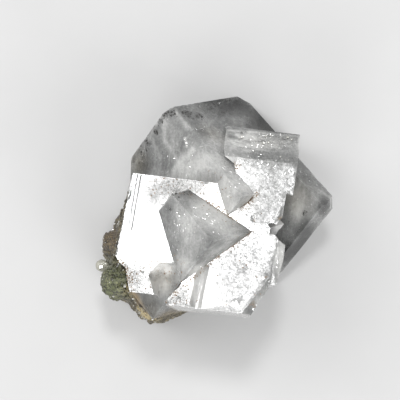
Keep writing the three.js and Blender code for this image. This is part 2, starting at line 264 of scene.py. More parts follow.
def add_node(tree, kind, *values, settings=None, **inputs):
    """Adds a node to a tree and returns it. A second word in the kind is its operation, as
    in "Math ADD". Values go to its inputs in order, or by name with _ for a space, or by
    place as in7. A node given as a value is linked by its first output."""
    kind, _, operation = kind.partition(" ")
    node = tree.nodes.new("ShaderNode" + kind)
    options = ({"operation": operation} if operation else {}) | (settings or {})
    for option, value in options.items():
        setattr(node, option, value)
    for label, value in ({f"in{i}": value for i, value in enumerate(values)} | inputs).items():
        spot = int(label[2:]) if label[2:].isdigit() else label.replace("_", " ")
        if isinstance(value, bpy.types.Node):
            value = value.outputs[0]
        if isinstance(value, bpy.types.NodeSocket):
            tree.links.new(value, node.inputs[spot])
        else:
            node.inputs[spot].default_value = value
    return node


def new_material(name):
    """A material with an empty node tree, and the socket of its object coordinates."""
    material = bpy.data.materials.new(name)
    material.use_nodes = True
    tree = material.node_tree
    tree.nodes.clear()
    return material, tree, add_node(tree, "TexCoord").outputs["Object"]


# Milky zones (+) and clear, darker zones (-), some of them painted light and shade: centre and
# radii in mm, and amount.
CLOUDS_AND_PAINTED_LIGHT = [
    ((3, 4, 21), (8, 7, 7), 0.36),
    ((2.5, 8, 18), (5, 5, 5), 0.28),
    ((-2.6, 7.6, 17), (6, 6, 6), 0.42),
    ((0.5, 11.5, 14.5), (3, 4.5, 5), 0.2),
    ((-6, 6, 14.5), (5, 4, 4), 0.26),
    ((-8, 12, 12), (3, 5, 4), 0.06),
    ((-1.4, -2.2, 23), (8, 7.2, 7), 0.68),
    ((3.6, 2.4, 21), (3.6, 4, 3), 0.24),
    ((1, -6, 25), (7, 4, 4), 0.2),
    ((-4.4, -8.6, 25), (3.4, 3.4, 4), 0.34),
    ((-6.2, 2.2, 23.6), (2.2, 1.8, 2), 0.14),
    ((-7, 11.8, 13.4), (5, 4.5, 4), 0.16),
    ((-12.4, 7.4, 9), (3, 4, 4), -0.22),
    ((2, 18.5, 4), (12, 4.4, 8), -0.5),
    ((10, 15, 5), (6, 7, 9), -0.75),
    ((11, -7, 21), (3, 7, 4), 0.6),
    ((7.5, -15, 23), (3, 2.4, 3), 0.2),
    ((5.6, 11.2, 14), (5.4, 4, 5), 0.6),
    ((12, 10.6, 14), (4.4, 4, 5), 0.2),
    ((14, -7, 8), (8, 4.6, 8), -0.7),
    ((15, 1, 13), (5, 5, 6), 0.22),
    ((13.4, 0.8, 11.8), (2.8, 4.6, 3), 0.36),
    ((15.2, -4.4, 11), (2.6, 4.6, 6), -0.6),
    ((18, 0, 14), (2.2, 3.4, 4), -0.52),
    ((13.4, -4.5, 9), (3, 2.4, 4), 0.3),
    # Painted light: these two lighten the shaded walls of the notch.
    ((-9, -12, 21), (4, 3.4, 5), 0.6),
    ((-8.6, -9.3, 22.6), (2.8, 1.8, 2.4), 1.2),
    # Painted light: this lightens the shaded side wall above the rock.
    ((-16, -4, 18), (2.6, 7, 6), 0.5),
    ((-9.5, -15.5, 19), (4, 3, 4), -0.1),
    # Painted shade: this darkens the low, downward facets of the foot.
    ((-7.5, -17.2, 17), (5, 2.4, 5), -0.5),
    ((-1.8, -12.5, 24), (3.4, 6, 3), 1.0),
    # Painted light: this lightens a shaded step beside the plate.
    ((10.8, -2.4, 17), (2.4, 2.4, 3.5), 0.7),
]
SIDE_MILK = 0.36  # the steep sides are milkier than the tops
# Healed cracks, and painted highlights along three outer edges: the places a white line runs
# through, its width in mm, and amount.
HEALED_CRACKS_AND_PAINTED_EDGES = [
    ([(-6.3, 16.0, 12.3), (-5.3, 14.7, 13.3), (-4.3, 13.3, 14.3)], 0.9, 0.2),
    ([(-8.3, 15.5, 12.1), (-8.4, 13.4, 12.0), (-8.1, 11.4, 12.2)], 0.8, 0.16),
    ([(-10.3, 11.5, 10.2), (-9.4, 9.8, 10.9), (-8.9, 8.5, 11.3)], 0.9, 0.14),
    ([(-7.6, 10.4, 12.7), (-6.8, 9.3, 13.4), (-6.1, 8.1, 13.9), (-5.3, 7, 14.7)], 0.9, 0.15),
    ([(-3.6, 9.7, 16.3), (-4.8, 8.6, 15.2), (-5.8, 7.6, 14.2), (-6.8, 6.2, 13.3)], 0.9, 0.16),
    ([(-4.8, 11.7, 15.1), (-4.5, 10.2, 15.6)], 0.3, 0.5),
    ([(3.8, 12.3, 12.8), (5.0, 11.7, 13.6)], 0.5, 0.5),
    ([(9.6, 11.9, 13.0), (11.2, 12.1, 12.6)], 0.4, 0.4),
    ([(-1, -5, 26.3), (0.8, -5.5, 25.9), (4, -5, 23)], 1.2, -0.22),
    ([(2.6, 11.8, 13.4), (5.8, 11.1, 14.3), (8.6, 11.6, 13.6)], 0.9, -0.3),
    ([(2.6, 10.9, 14.5), (4, 10.3, 15.3), (7, 10.1, 15.6)], 0.7, 0.2),
    # Painted highlights along the outer edges of the first crystal, the top block and the plate.
    ([(-13.4, 7, 7), (-11.4, 10.8, 9.4), (-8.4, 16, 12)], 0.6, 0.22),
    ([(2.4, 13.2, 12), (8, 12.9, 11.8), (14, 12.2, 11.6), (14, 8, 18)], 0.6, 0.4),
    ([(16.6, 4.5, 12), (19, 2, 12.5), (19, -1.5, 12.5)], 0.7, 0.25),
]
# Mosaic growth, whose small patches of face tip a little each way: centre, radii, amount.
GRAINY = [
    ((4, -10, 23), (11, 10, 5), 0.4),
    ((11, -9, 21.5), (3, 9, 6), 0.66),
    ((9, 4, 19.6), (8, 8, 6), 0.56),
    ((9, 8, 18.4), (7, 3, 3), 0.85),
    ((2.6, 7.8, 18.6), (1.6, 1.6, 2), 1.4),
    ((-6.2, 3.6, 21), (7, 3.2, 5), 0.72),
    ((7.5, -0.6, 20.5), (2.6, 2.4, 3), 0.55),
    ((0.6, -13, 24), (5, 2.6, 3), 0.35),
    ((-8.6, -9.9, 22.5), (3, 2.4, 3), 0.8),
    ((-6.4, -10.6, 23.4), (1.6, 2.8, 2), 1.0),
    ((-13, -11, 23.3), (4, 4, 4), 0.58),
    ((-9.6, 2.4, 20.7), (2.4, 3, 3), 0.6),
    ((10, 11, 14), (9, 4, 7), 0.75),
    ((-5.5, -13.5, 24.5), (4, 3, 4), 0.55),
]
# Loose rust-brown grains and film where crystals meet: places, width, amount.
SEAM_RUST = [
    ([(-1.4, 1.8, 20.7), (0.7, 0.2, 21), (1.9, -0.8, 21.3), (2.6, -1.3, 21.4)], 0.8, 0.9),
    ([(2.6, -1.3, 21.4), (4.0, -2.2, 21.6)], 0.6, 0.4),
    ([(6.8, 2.6, 19.8), (5.3, 1.1, 20.2), (4.7, 0.5, 20.4), (4.2, 0.3, 20.4)], 0.7, 0.9),
    ([(4.7, 0.5, 20.4), (5.2, 0.3, 20.4)], 0.6, 0.8),
    ([(5.6, -3.6, 22.1), (4.0, -4.9, 22.2), (2.4, -6, 22.5)], 0.7, 0.65),
    ([(2.4, -6, 22.5), (-1.3, -8.7, 23.2), (-4.6, -12, 24)], 0.6, 0.5),
    ([(6.3, -1.5, 20.8), (6.4, -1.6, 20.8)], 0.4, 0.7),
    ([(10.4, -1.4, 20.7), (10.7, -1.3, 20.7)], 0.6, 0.9),
    ([(3.2, 7.4, 18.7), (3.9, 6.8, 19.0)], 0.6, 0.9),
    ([(-6.1, -12.9, 24.3), (-6.4, -13.1, 24.3)], 0.6, 0.9),
    ([(-7.8, -14.4, 24.6), (-8.1, -14.6, 24.6)], 0.5, 0.6),
    ([(5.9, -14.8, 24.2), (6.1, -14.8, 24.2)], 0.6, 0.9),
    ([(-15.6, -8, 23.1), (-14.3, -9.3, 23.5), (-13.5, -11.2, 23.9)], 1.1, 0.75),
    ([(-13.3, -11.4, 23.8), (-12.9, -14.2, 24.4)], 0.7, 0.5),
]
# Faces thinly dotted with the same grains: centre, radii, amount.
DOTTED = [
    ((-5, 4, 20.6), (8, 3.4, 4), 0.14),
    ((0, 2, 21), (3.4, 4, 4), 0.1),
    ((-9, -9.5, 23), (6, 4, 4), 0.14),
    ((-13.2, -9.6, 23.4), (4, 5, 3), 0.13),
    ((-5.5, -13.5, 24.4), (4, 3, 3), 0.12),
    ((5, -3, 21.5), (6, 4, 4), 0.04),
    ((5, -10, 23), (10, 7, 5), 0.015),
]
# Broad, faint warm films, and a painted shade in warm brown on the low facets of the foot.
WARM_FILMS_AND_SHADE = [
    ((-0.5, 12.5, 13), (4, 3.4, 4), 0.35),
    ((13, 2, 12), (5, 5, 6), 0.45),
    ((-8.5, -11, 21.5), (4, 3.4, 4), 0.5),
    ((-10, -16, 18), (4, 4, 5), 0.5),
    # Painted shade on the low facets of the foot.
    ((-7.5, -17.2, 17), (5, 2.6, 5), 0.9),
    ((-12.5, 7.6, 8), (3, 4, 5), 0.6),
    ((5.5, 1, 20.5), (3, 3, 3), 0.3),
    ((8, 11, 14), (6, 3, 4), 0.15),
]
# Dark mineral dust, and where it gathers: centre, radius, amount.
DUSTY = [
    ((-8.1, 15.7, 12.1), 1.5, 1.0),
    ((-6.7, 15.8, 12.3), 1.1, 1.0),
    ((-8.9, 14.5, 11.6), 1.2, 0.8),
    ((-9.7, 13.1, 10.8), 1.2, 0.8),
    ((-11.1, 10.9, 9.4), 1.3, 0.8),
    ((-12.1, 9.7, 8.4), 1.1, 0.8),
    ((-4.3, 15.6, 11.4), 1.9, 0.85),
    ((-2.5, 15.4, 10.6), 1.6, 0.55),
    ((-0.5, 16.9, 6.8), 1.1, 0.9),
    ((0.1, 17.5, 5.4), 0.8, 0.9),
    ((1.5, 16.3, 6.1), 1.1, 1.0),
    ((2.4, 18.5, 2.3), 0.8, 0.8),
    ((-6.5, 2.3, 23.4), 1.7, 0.45),
    ((-7.0, 0.6, 22.7), 1.4, 0.3),
    ((-4.8, 3.0, 21.3), 1.3, 0.35),
    ((-1.4, -4.6, 26.6), 0.9, 0.5),
    ((14.8, -0.4, 12.8), 0.7, 0.6),
    ((12.5, -1.7, 10.6), 0.8, 0.4),
    ((4.6, 12.9, 12.1), 1.2, 0.7),
    ((9.5, 11.6, 13.2), 0.9, 0.5),
    ((11.4, 11.4, 12.6), 0.8, 0.7),
]
# Hollows whose edges have been dissolved away: centre and radii in mm.
DISSOLVED = [((-7.8, -10.9, 21.8), (3.4, 3.0, 3.4))]
# Tiny steps that flash: centre, radii, amount. Then the same along lines, with a width.
GLINTS = [
    ((-4.6, -2.2, 23.6), (4.5, 5, 5), 0.24),
    ((-1.5, -3, 24), (6, 6, 5), 0.12),
    ((3, 4, 21), (4, 4, 5), 0.1),
    ((-9, 9, 11), (5, 6, 6), 0.07),
    ((-4, 13, 13), (5, 4, 5), 0.07),
    ((8, 11.4, 14), (8, 3, 5), 0.3),
    ((8.5, 12.2, 12.8), (5, 1.6, 3), 0.6),
    ((8, 10.4, 15), (2.4, 1.4, 2), 0.6),
    ((9, 7, 18.5), (7, 4, 3), 0.25),
    ((14, 0, 12.5), (5, 6, 5), 0.08),
]
GLINT_LINES = [
    ([(8.4, -3.6, 21.8), (10, -6, 21.5), (9.9, -9.2, 21.8), (8.9, -12, 22.1), (6, -15, 23)],
     1.4, 0.5),
    ([(13.2, 7, 18.7), (12.6, 4, 19.4), (12, 1.4, 20)], 1.3, 0.5),
    ([(17.4, 0, 14.3), (18.4, 0, 12.6)], 1.2, 0.25),
]
FAINT_GLINTS = 0.015
# Where growth lines show on the bright faces, and where the milk lies in layers: centre
# and radii in mm.
LINED = [((-12.4, 1.5, 21), (2.4, 8, 4)), ((-1.8, -12.5, 24), (3.4, 5.4, 4))]
LAYERED = ((8.6, 10.8, 14.6), (8, 4, 5))
# Where crumbs of rock stick to the crystals' side: centre and radii. Where a crust of them
# covers it: a line with its width. Painted shade on the low facets of the foot, in the crust's
# brown: centre and radii.
STICKY = ((-14.8, -4, 17.4), (2.6, 9, 5.6))
CRUST_LINE = ([(-13.2, -13, 16.8), (-10.8, -17, 18)], 1.3)
PAINTED_SHADE_FOOT = ((-6, -17.4, 17), (6, 2, 6))
# The edge that is worn round: centre and radii.
ROUNDED = ((11.2, -8, 21.5), (1.8, 6, 2.4))
ROUNDED_DEPTH = 0.34  # mm
CHIP_DEPTH = 0.14  # mm
WORN_DEPTH = 0.012  # how much every outward edge is worn down, mm
UNEVENNESS = 0.012  # how far the faces swell and the mosaic growth stands out, mm

points, triangles = solid_skin("crystal_cluster")
points, triangles = split_to(
    points, triangles, lambda middles: FACET_STEP * (1 + soft(12 - middles[:, 2], 0, 4)))
creases, edges = crystal_edges(points, triangles)
points = relaxed(points, edges, np.where(np.isin(np.arange(len(points)), creases), 0, 1), 8)
normals = point_normals(points, triangles)
edge_gap = distance_to_edges(points, triangles, normals, EDGE_REACH)
dissolved = np.zeros(len(points))
for centre, radii in DISSOLVED:
    dissolved = np.maximum(dissolved, soft(near(points, centre, radii), 0, 0.3))
points = relaxed(points, edges, dissolved, 90)
creases = creases[dissolved[creases].max(1) < 0.15]
normals = point_normals(points, triangles)

cloud_and_painted_light = 0.5 + 0.07 * mottle(points, 3.1, 1) + 0.04 * mottle(points, 1.2, 2)
for centre, radii, amount in CLOUDS_AND_PAINTED_LIGHT:
    cloud_and_painted_light += amount * near(points, centre, radii)
grainy = np.zeros(len(points))
for centre, radii, amount in GRAINY:
    grainy = np.maximum(grainy, amount * near(points, centre, radii) ** 0.5)
for seam, width, amount in HEALED_CRACKS_AND_PAINTED_EDGES:
    cloud_and_painted_light += amount * along_seam(points, seam, width)
cloud_and_painted_light += SIDE_MILK * (1 - soft(normals[:, 2], 0.25, 0.38))
# Painted highlight: the outward crystal edges are whitened a little, in patches.
edge = 1 - soft(edge_gap, 0, 0.6)
cloud_and_painted_light += 0.08 * edge * soft(mottle(points, 1.3, 5), -0.6, 0.5)
warm_film_and_shade = np.zeros(len(points))
for centre, radii, amount in WARM_FILMS_AND_SHADE:
    warm_film_and_shade = np.maximum(warm_film_and_shade, amount * near(points, centre, radii))
rust = np.zeros(len(points))
for seam, width, amount in SEAM_RUST:
    rust = np.maximum(rust, amount * along_seam(points, seam, width))
for centre, radii, amount in DOTTED:
    rust = np.maximum(rust, amount * near(points, centre, radii) ** 0.5)
dust = np.zeros(len(points))
for centre, radius, amount in DUSTY:
    dust = np.maximum(dust, amount * near(points, centre, radius))
glint = np.full(len(points), FAINT_GLINTS)
for centre, radii, amount in GLINTS:
    glint = np.maximum(glint, amount * near(points, centre, radii))
for seam, width, amount in GLINT_LINES:
    glint = np.maximum(glint, amount * along_seam(points, seam, width))
facing_front = soft(normals @ FRONT_NORMAL, 0.97, 0.995)
lined = sum(soft(near(points, centre, radii), 0, 0.3) for centre, radii in LINED)
sticky = near(points, *STICKY) * soft(-normals[:, 0], 0.4, 0.7)
sticky *= soft(mottle(points, 1.8, 8) + mottle(points, 0.7, 9), -0.5, 0.6)
crust_and_shade = soft(sticky, 0.05, 0.4) + along_seam(points, *CRUST_LINE)
# Painted shade: the low facets of the foot get the crust's brown.
crust_and_shade += 0.7 * near(points, *PAINTED_SHADE_FOOT)
layered = soft(near(points, *LAYERED), 0, 0.4)

chips = soft(mottle(points, 1.1, 4), 0.4, 0.9) * CHIP_DEPTH
chipped = (1 - soft(edge_gap, 0, 0.5)) * (WORN_DEPTH + chips)
swell = UNEVENNESS * mottle(points, 2.4, 6) * soft(edge_gap, 0, 1.2)
grain_relief = grainy * UNEVENNESS * mottle(points, 0.5, 7)
rounded = ROUNDED_DEPTH * (1 - soft(edge_gap, 0, 1.1)) * near(points, *ROUNDED) ** 0.5
points = points + normals * (swell + grain_relief - chipped - rounded)[:, None]

crystal_amounts = {
    "cloud_and_painted_light": np.clip(cloud_and_painted_light, 0, 1),
    "grainy": grainy,
    "warm_film_and_shade": warm_film_and_shade,
    "rust": rust,
    "dust": dust,
    "glint": glint,
    "lined": lined * facing_front,
    "layered": layered,
    "crust_and_shade": np.clip(crust_and_shade, 0, 1),
}
crystals = skin_piece("chabazite_crystals", points, triangles, crystal_amounts, creases)


MOSAIC_SLOPE = 0.075  # steepest tip of a patch of mosaic growth, as a slope
GLINT_SPREAD = 0.12  # how far the small steps tip from the bright faces, as a slope
# Growth lines on the bright faces: the direction across each line, then its place that
# way and its half width in mm, and how much of the light it turns away.
GROWTH_LINES = [
    ((0.986, -0.157, 0.022), -12.07, 0.09, 0.85),
    ((0.986, -0.157, 0.022), -12.62, 0.08, 0.7),
    ((0.980, -0.193, 0.031), 0.19, 0.5, 1.0),
    ((0.980, -0.193, 0.031), 1.30, 0.28, 1.0),
]


def specks(tree, place, size, share, chance):
    """Ragged specks: a Voronoi cell of the given size in mm holds one where its random
    value is below the chance, and the speck fills that share of the cell. Also gives the
    cells' random colour."""
    wobble = add_node(tree, "TexNoise", Vector=place, Scale=2 / (size * MM), Detail=1.0,
                      Roughness=0.6)
    ragged = add_node(tree, "VectorMath MULTIPLY_ADD", wobble.outputs["Color"],
                      (1.1 * size * MM,) * 3, place)
    cells = add_node(tree, "TexVoronoi", Vector=ragged, Scale=1 / (size * MM))
    own = add_node(tree, "SeparateColor", Color=cells.outputs["Color"])
    chosen = add_node(tree, "Math LESS_THAN", own, chance)
    inside = add_node(tree, "MapRange", Value=cells, From_Min=share, From_Max=0.6 * share)
    return add_node(tree, "Math MULTIPLY", chosen, inside), cells.outputs["Color"]


def mosaic_tilt(tree, place, size):
    """A height in metres that tips each cell of a Voronoi pattern its own way: the way from
    the cell's middle, dotted with the cell's random colour less one half."""
    cells = add_node(tree, "TexVoronoi", Vector=place, Scale=1 / (size * MM))
    way = add_node(tree, "VectorMath SUBTRACT", place, cells.outputs["Position"])
    lean = add_node(tree, "VectorMath SUBTRACT", cells.outputs["Color"], (0.5, 0.5, 0.5))
    return add_node(tree, "VectorMath DOT_PRODUCT", way, lean).outputs["Value"]


def milky_chabazite():
    """Glassy crystal, cleaved and grown: soft grey where clear, white where clouded. Its
    smooth faces mirror the lamp, and grainy ones break that mirror into sparkle."""
    material, tree, place = new_material("milky_chabazite_crystal")
    amount = {
        label: add_node(tree, "Attribute", settings={"attribute_name": label}).outputs["Fac"]
        for label in crystal_amounts
    }
    ways = [
        add_node(tree, "VectorMath DOT_PRODUCT", place, tuple(axis)).outputs["Value"]
        for axis in FIRST_AXES
    ]
    growth = add_node(tree, "CombineXYZ", *ways)

    # Milk: soft veils, streaks and layers along the growth, fine flaws, and fine cracks
    # that healed, about 5 mm apart and bent by up to 4 mm.
    veil = add_node(tree, "TexNoise", Vector=place, Scale=1 / (2.2 * MM), Detail=5.0,
                    Roughness=0.62)
    drawn = add_node(tree, "VectorMath MULTIPLY", growth, (1, 1 / 7, 1))
    streak = add_node(tree, "TexNoise", Vector=drawn, Scale=1 / (0.5 * MM), Detail=3.0,
                      Roughness=0.6)
    flattened = add_node(tree, "VectorMath MULTIPLY", growth, (1 / 2.6, 1, 1))
    layer = add_node(tree, "TexNoise", Vector=flattened, Scale=1 / (0.8 * MM), Detail=4.0,
                     Roughness=0.7)
    fine = add_node(tree, "TexNoise", Vector=place, Scale=1 / (0.35 * MM), Detail=2.0,
                    Roughness=0.7)
    bend = add_node(tree, "TexNoise", Vector=place, Scale=1 / (3 * MM), Detail=3.0,
                    Roughness=0.6)
    slabs = add_node(tree, "VectorMath MULTIPLY", growth, (2, 0.6, 0.8))
    bent = add_node(tree, "VectorMath MULTIPLY_ADD", bend.outputs["Color"], (4 * MM,) * 3, slabs)
    gap = add_node(tree, "TexVoronoi", settings={"feature": "DISTANCE_TO_EDGE"},
                   Vector=bent, Scale=1 / (5 * MM))
    crack = add_node(tree, "MapRange", Value=gap, From_Min=0.09, From_Max=0.0)
    crack = add_node(tree, "Math MULTIPLY", crack, veil)
    # The cloud amount also holds painted light in shaded hollows, painted shade on the foot, and
    # painted highlights along edges.
    milk = amount["cloud_and_painted_light"]
    for part, share in ((veil, 0.34), (streak, 0.26), (fine, 0.34)):
        part = add_node(tree, "Math SUBTRACT", part, 0.5)
        milk = add_node(tree, "Math MULTIPLY_ADD", part, share, milk)
    layer = add_node(tree, "Math SUBTRACT", layer, 0.5)
    layer = add_node(tree, "Math MULTIPLY", layer, amount["layered"])
    milk = add_node(tree, "Math MULTIPLY_ADD", layer, 0.8, milk)
    milk = add_node(tree, "Math MULTIPLY_ADD", crack, 0.14, milk)
    clouded = add_node(tree, "MapRange", Value=milk, From_Max=1.4)
    shade = add_node(tree, "ValToRGB", Fac=clouded)
    ramp = shade.color_ramp.elements
    ramp[0].position, ramp[0].color = 0.0, hex_linear("#414241")
    ramp[1].position, ramp[1].color = 1.0, hex_linear("#f2f1ef")
    for position, code in ((0.36, "#999a99"), (0.71, "#d4d4d2")):
        ramp.new(position).color = hex_linear(code)

    # Warm film, rust grains along the seams, crumbs of rock, and dark mineral dust. The warm
    # film and the crust also carry a painted shade on the low facets of the foot.
    dots = add_node(tree, "TexNoise", Vector=place, Scale=1 / (0.8 * MM), Detail=4.0,
                    Roughness=0.7)
    warm_film_and_shade_mask = add_node(tree, "Math MULTIPLY", amount["warm_film_and_shade"], dots)
    rusty, _ = specks(tree, place, 0.27, 0.55, amount["rust"])
    rust_film = add_node(tree, "Math MULTIPLY", amount["rust"], 0.55)
    patchy = add_node(tree, "Math ADD", dots, 0.4)
    crust_and_shade_cover = add_node(tree, "Math MULTIPLY", amount["crust_and_shade"], patchy,
                       settings={"use_clamp": True})
    smudge = add_node(tree, "Math MULTIPLY_ADD", amount["dust"], 0.36, dots)
    smudge = add_node(tree, "MapRange", Value=smudge, From_Min=0.6, From_Max=0.76, To_Max=0.75)
    chance = add_node(tree, "Math MULTIPLY", amount["dust"], 0.85)
    dusty, _ = specks(tree, place, 0.46, 0.66, chance)
    dirt = add_node(tree, "Math MAXIMUM", smudge, dusty)
    for mask, code in ((warm_film_and_shade_mask, "#8d8062"), (rust_film, "#8f7d60"), (rusty, "#664824"),
                       (crust_and_shade_cover, "#84704e"), (dirt, "#2b2a28")):
        shade = add_node(tree, "Mix", mask, settings={"data_type": "RGBA"}, in6=shade,
                         in7=hex_linear(code)).outputs[2]

    # Gloss: clean faces are smooth, mosaic growth is duller, and whatever lies on them is
    # dull.
    dull = add_node(tree, "MapRange", Value=fine, From_Min=0.35, From_Max=0.7, To_Min=0.06,
                    To_Max=0.13)
    rough = add_node(tree, "Math MULTIPLY_ADD", amount["grainy"], 0.25, dull)
    cover = add_node(tree, "Math MAXIMUM", dirt, rusty)
    cover = add_node(tree, "Math MAXIMUM", crust_and_shade_cover, cover)
    rough = add_node(tree, "Math MULTIPLY_ADD", cover, 0.6, rough)
    tips = add_node(tree, "Math ADD", mosaic_tilt(tree, place, 0.22),
                    mosaic_tilt(tree, place, 0.5))
    mosaic = add_node(tree, "Math MULTIPLY", tips, amount["grainy"])
    relief = add_node(tree, "Bump", Height=mosaic, Strength=1.0, Distance=MOSAIC_SLOPE)

    # Growth lines lean away from the lamp, and small steps lean back to the bright faces.
    line = 0.0
    for across, middle, half_width, strength in GROWTH_LINES:
        offset = add_node(tree, "VectorMath DOT_PRODUCT", place, across).outputs["Value"]
        offset = add_node(tree, "Math SUBTRACT", offset, middle * MM)
        offset = add_node(tree, "Math ABSOLUTE", offset)
        inside = add_node(tree, "MapRange", Value=offset, From_Min=(half_width + 0.06) * MM,
                          From_Max=(half_width - 0.06) * MM, To_Max=strength)
        line = add_node(tree, "Math MAXIMUM", line, inside)
    line = add_node(tree, "Math MULTIPLY", line, amount["lined"])
    leaning = FRONT_NORMAL + 0.2 * FIRST_AXES[0]
    relief = add_node(tree, "Mix", line, settings={"data_type": "VECTOR"}, in4=relief,
                      in5=tuple(leaning / np.linalg.norm(leaning))).outputs[1]
    steps = add_node(tree, "VectorMath MULTIPLY", growth, (1, 0.6, 1))
    flashing, tint = specks(tree, steps, 0.32, 0.5, amount["glint"])
    spread = add_node(tree, "VectorMath MULTIPLY_ADD", tint, (GLINT_SPREAD,) * 3,
                      tuple(FRONT_NORMAL - 0.5 * GLINT_SPREAD))
    relief = add_node(tree, "Mix", flashing, settings={"data_type": "VECTOR"}, in4=relief,
                      in5=spread).outputs[1]
    rough = add_node(tree, "Mix", flashing, in2=rough, in3=0.12)

    # Clear crystal lets light through, and milk, dust and crumbs stop it.
    clearness = add_node(tree, "MapRange", Value=milk, From_Min=0.1, To_Min=0.8, To_Max=0.28)
    bare = add_node(tree, "Math SUBTRACT", 1.0, cover)
    clearness = add_node(tree, "Math MULTIPLY", clearness, bare)
    surface = add_node(tree, "BsdfPrincipled", Base_Color=shade, Roughness=rough, IOR=1.48,
                       Transmission_Weight=clearness, Subsurface_Weight=0.25,
                       Subsurface_Radius=(1.0, 1.0, 1.0), Subsurface_Scale=1.0 * MM,
                       Normal=relief)
    add_node(tree, "OutputMaterial", Surface=surface)
    return material


crystals.data.materials.append(milky_chabazite())
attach(crystals, "root")
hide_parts("crystal_cluster")

# --- The rock remnant ---------------------------------------------------------------
# A crumbly piece of weathered rock, left where the crystals were prised off. It is brown
# and beige, with a pale green altered lump and one glossy nub, and rounded grains.

ROCK_STEP = 0.34  # longest side of a rock skin triangle, mm
BANK_RISE = 1.5  # how far the rock banks up against the crystals' side, mm
# The rock's parts: centre and radii in mm, and a power below 1 for one that fades late.
ROCK_PARTS = {
    "green": ((-16.3, -11.7, 14), (4.6, 5.2, 9), 0.6),
    "brown": ((-16.8, -5, 14), (4, 4.2, 9), 0.6),
    "pale": ((-12, -17.2, 13), (4.5, 2.6, 7), 1),
    "crystalline": ((-14.2, 0.5, 14), (2.8, 6.5, 8), 0.5),
    "nub": ((-18.6, -9.1, 13.2), (2.0, 2.0, 2.6), 0.5),
}
# Bands of it: the places each runs through, and its width.
PALE_BAND = ([(-15.3, -8.8, 15), (-14.5, -12, 15.4), (-13, -16.4, 14)], 1.9)
DARK_SEAM = ([(-13.7, -13.4, 15.2), (-12.6, -15, 15.3), (-11.3, -16.6, 15.3)], 1.1)
# Lumps: size and height in mm, and the noise's seed.
LUMPS = [(0.9, 0.24, 12), (0.55, 0.2, 13), (0.34, 0.13, 14)]
# Where the rock banks up, and the crystals' side that it banks up against.
BANKED = ((-15, -6.2, 15), (3.4, 10, 5))
BANKED_SIDE = ((-14.6, -6.2, 16), (3.4, 12, 8))

rock_points, rock_triangles = solid_skin("rock_matrix")
rock_points, rock_triangles = split_to(rock_points, rock_triangles, ROCK_STEP)
rock_normals = point_normals(rock_points, rock_triangles)
lumpy = 0.34 * np.abs(mottle(rock_points, 1.7, 11)) - 0.12
for size, height, seed in LUMPS:
    lumpy += height * (np.abs(mottle(rock_points, size, seed)) - 0.3)
lumpy *= soft(rock_points[:, 2], 0.05, 0.6)
rock_amounts = {
    part: near(rock_points, centre, radii) ** power
    for part, (centre, radii, power) in ROCK_PARTS.items()
}
pale = rock_amounts["pale"] + along_seam(rock_points, *PALE_BAND)
rock_amounts["pale"] = np.clip(pale, 0, 1)
rock_amounts["seam"] = along_seam(rock_points, *DARK_SEAM)
lumpy *= 1 - 0.85 * rock_amounts["nub"]
rock_points = rock_points + rock_normals * lumpy[:, None]


def nearest_of(places, targets):
    """For each place the number of the nearest target: the one whose squared length, less
    twice its product with the place, is smallest."""
    return ((targets ** 2).sum(1) - 2 * places @ targets.T).argmin(1)


# Near the crystals' side the rock leans over to it and banks up, leaving no open slit.
banked = soft(near(rock_points, *BANKED), 0, 0.3)
beside = np.flatnonzero(banked > 0)
side = near(points, *BANKED_SIDE) * soft(-normals[:, 0], 0.3, 0.6)
side = np.flatnonzero(side > 0)[::6]
beyond = side[nearest_of(rock_points[beside], points[side])]
gap = np.einsum("nd,nd->n", rock_points[beside] - points[beyond], normals[beyond])
pull = banked[beside] * (1 - soft(gap, 0.9, 3.2)) * (gap > 0)
rock_points[beside] -= normals[beyond] * (gap * pull)[:, None]
rock_points[beside, 2] += BANK_RISE * pull
rock = skin_piece("rock_remnant", rock_points, rock_triangles, rock_amounts)


